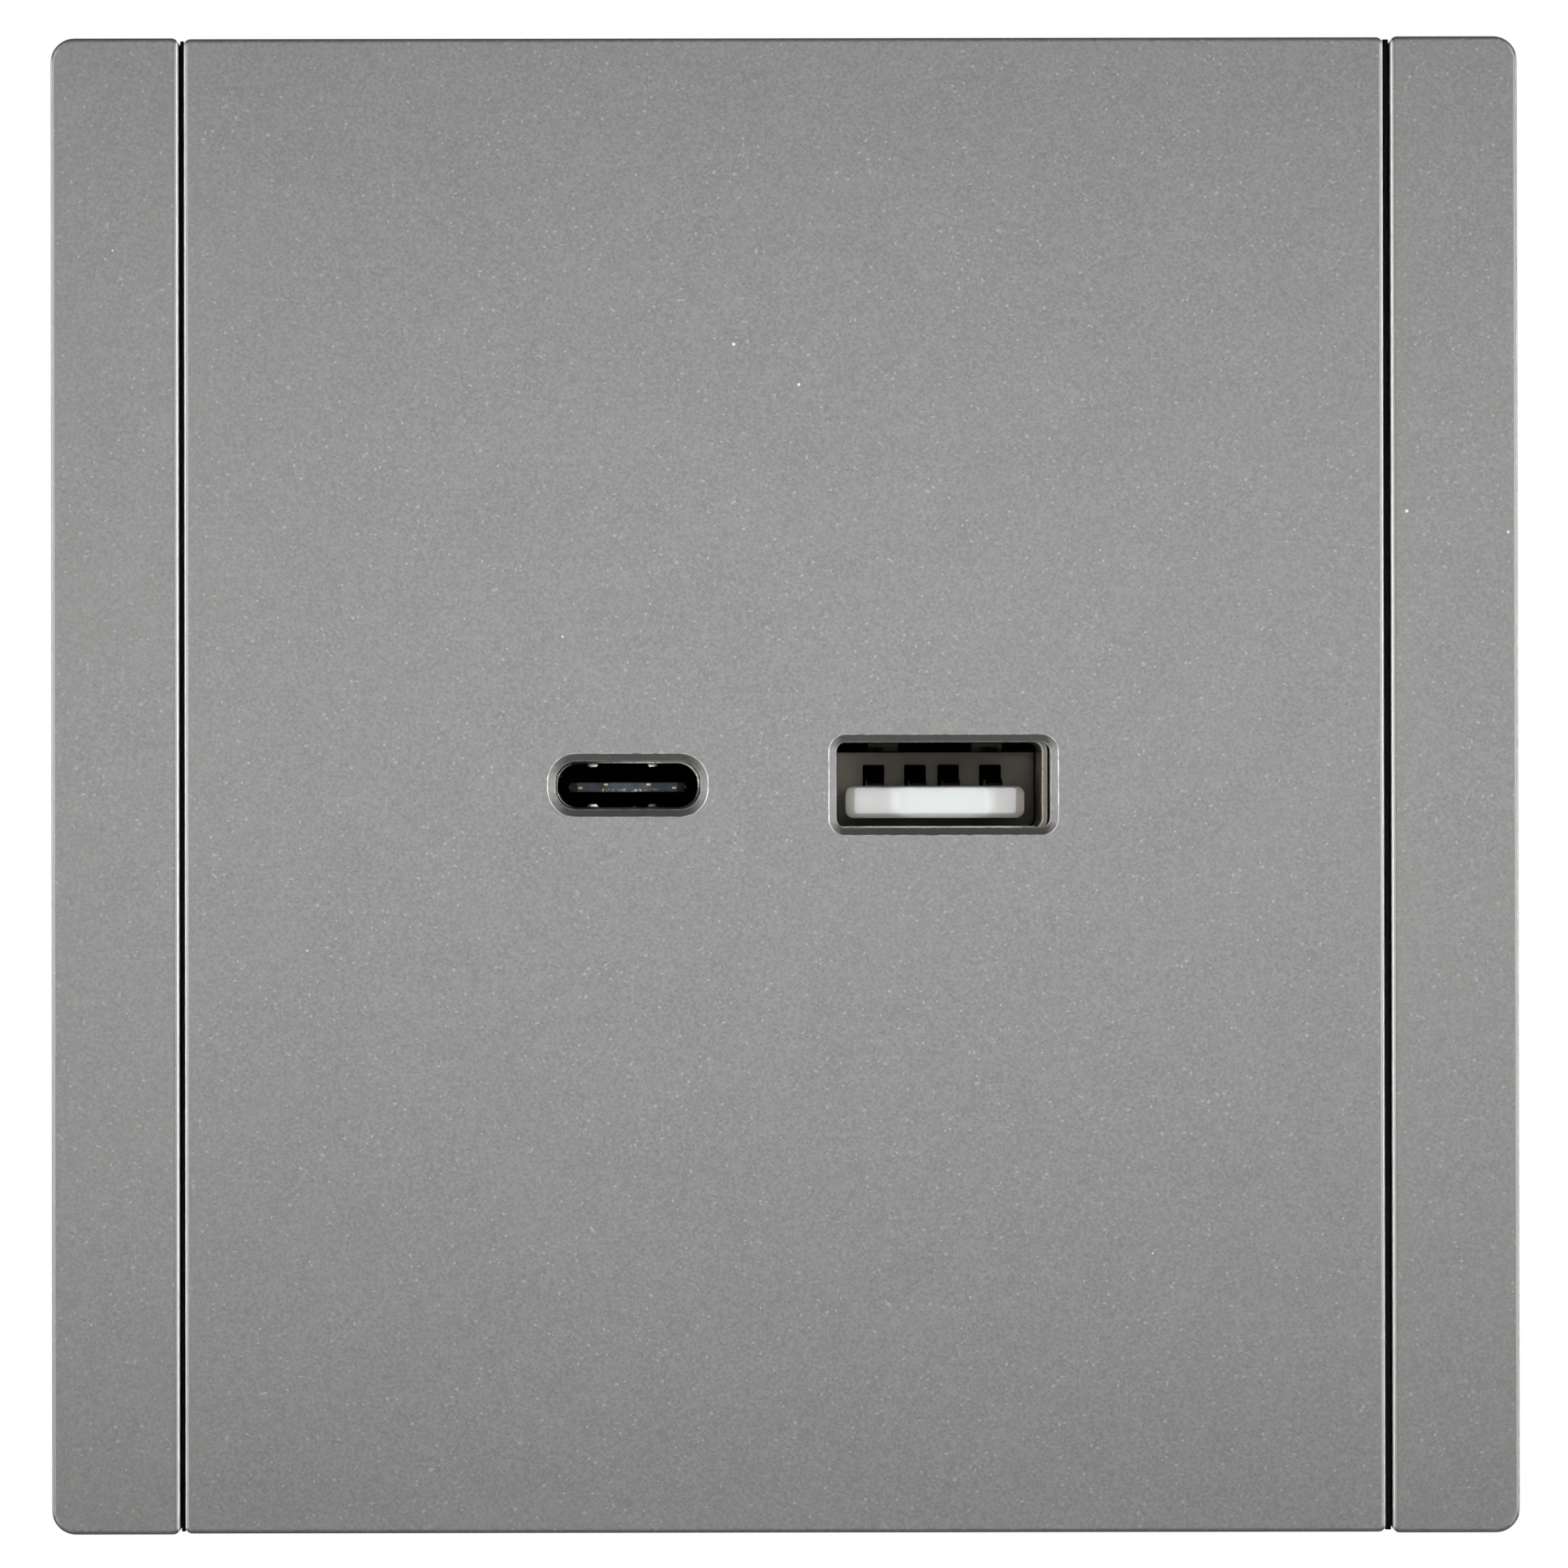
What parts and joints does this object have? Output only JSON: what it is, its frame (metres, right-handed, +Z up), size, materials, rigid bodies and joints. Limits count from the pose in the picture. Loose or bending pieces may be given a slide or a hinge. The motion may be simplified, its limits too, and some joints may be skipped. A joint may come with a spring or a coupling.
{
  "type": "usb wall socket",
  "caption": "Flush wall socket with a USB-C and a USB-A charging port in a grey cover between two side strips, on a steel support plate with a built-in supply.",
  "frame": {"origin": "middle of the cover plate, projected onto the wall plane", "axes": "+Z up, +Y into the wall, the face looks along -Y, +X to the right as seen from the room"},
  "size_m": [0.0855, 0.0405, 0.0872],
  "materials": {
    "grey_lacquer": "metallic grey lacquer on plastic, fine speckle",
    "black_plastic": "black moulded plastic",
    "zinc_steel": "zinc-plated sheet",
    "white_plastic": "white moulded plastic",
    "dark_housing": "dark moulded plastic",
    "screw_steel": "zinc-plated",
    "shell_steel": "drawn and nickel-plated",
    "white_insulator": "moulded",
    "black_insulator": "moulded",
    "gold_contact": "gold-plated",
    "board_green": "solder mask on glass laminate",
    "board_tan": "paper laminate",
    "chip_black": "moulded",
    "chip_tan": "fired",
    "sheet_white": "film",
    "pin_tin": "tin-plated",
    "ferrite": "ground ferrite",
    "bobbin_black": "moulded",
    "tape_yellow": "polyester tape",
    "sleeve_black": "shrunk sleeve",
    "can_aluminium": "drawn can",
    "sleeve_green": "cement coat",
    "dip_blue": "epoxy dipped",
    "dip_orange": "epoxy dipped",
    "film_yellow": "boxed film",
    "choke_wire": "enamelled wire on a drum",
    "tinned_brass": "tin-plated brass",
    "cage_steel": "zinc-plated"
  },
  "bodies": {
    "socket": {"board_link_pins": "pin_tin", "board_link_strip": "chip_black", "board_screws": "screw_steel", "bridge_rectifier": "chip_black", "charge_controller": "chip_black", "cover_plate": "grey_lacquer", "film_capacitor": "film_yellow", "frame_carrier": "black_plastic", "front_housing": "white_plastic", "fuse_resistor": "sleeve_green", "housing_screws": "screw_steel", "input_capacitors": "sleeve_black", "input_choke": "choke_wire", "insulation_sheet": "sheet_white", "left_side_strip": "grey_lacquer", "line_terminal_bar": "tinned_brass", "neutral_terminal_bar": "tinned_brass", "output_capacitors": "can_aluminium", "output_rectifier": "chip_black", "port_board": "board_green", "port_chip_parts": "chip_tan", "power_board": "board_tan", "rear_housing": "dark_housing", "right_side_strip": "grey_lacquer", "safety_capacitor": "dip_orange", "support_plate": "zinc_steel", "surge_disc": "dip_blue", "switching_controller": "chip_black", "transformer_bobbin": "bobbin_black", "transformer_core": "ferrite", "transformer_winding": "tape_yellow", "usb_a_contacts": "gold_contact", "usb_a_insulator": "white_insulator", "usb_a_shell": "shell_steel", "usb_c_contacts": "gold_contact", "usb_c_insulator": "black_insulator", "usb_c_mid_plate": "shell_steel", "usb_c_shell": "shell_steel"},
    "line_screw": {"line_terminal_screw": "screw_steel"},
    "line_cage": {"line_terminal_cage": "cage_steel"},
    "neutral_screw": {"neutral_terminal_screw": "screw_steel"},
    "neutral_cage": {"neutral_terminal_cage": "cage_steel"}
  },
  "joints": [
    {"name": "line_screw_turn", "type": "hinge", "parent": "socket", "child": "line_screw", "pos_m": [-0.012, 0.0259, -0.022], "axis": [0, 0, 1], "range_deg": [0, 1800]},
    {"name": "line_cage_slide", "type": "slide", "parent": "socket", "child": "line_cage", "axis": [0, 0, -1], "range_m": [0, 0.003]},
    {"name": "neutral_screw_turn", "type": "hinge", "parent": "socket", "child": "neutral_screw", "pos_m": [0.012, 0.0259, -0.022], "axis": [0, 0, 1], "range_deg": [0, 1800]},
    {"name": "neutral_cage_slide", "type": "slide", "parent": "socket", "child": "neutral_cage", "axis": [0, 0, -1], "range_m": [0, 0.003]}
  ],
  "couplings": [
    {"joint": "line_screw_turn", "follows": "line_cage_slide", "rad_per_m": 10472},
    {"joint": "neutral_screw_turn", "follows": "neutral_cage_slide", "rad_per_m": 10472}
  ]
}
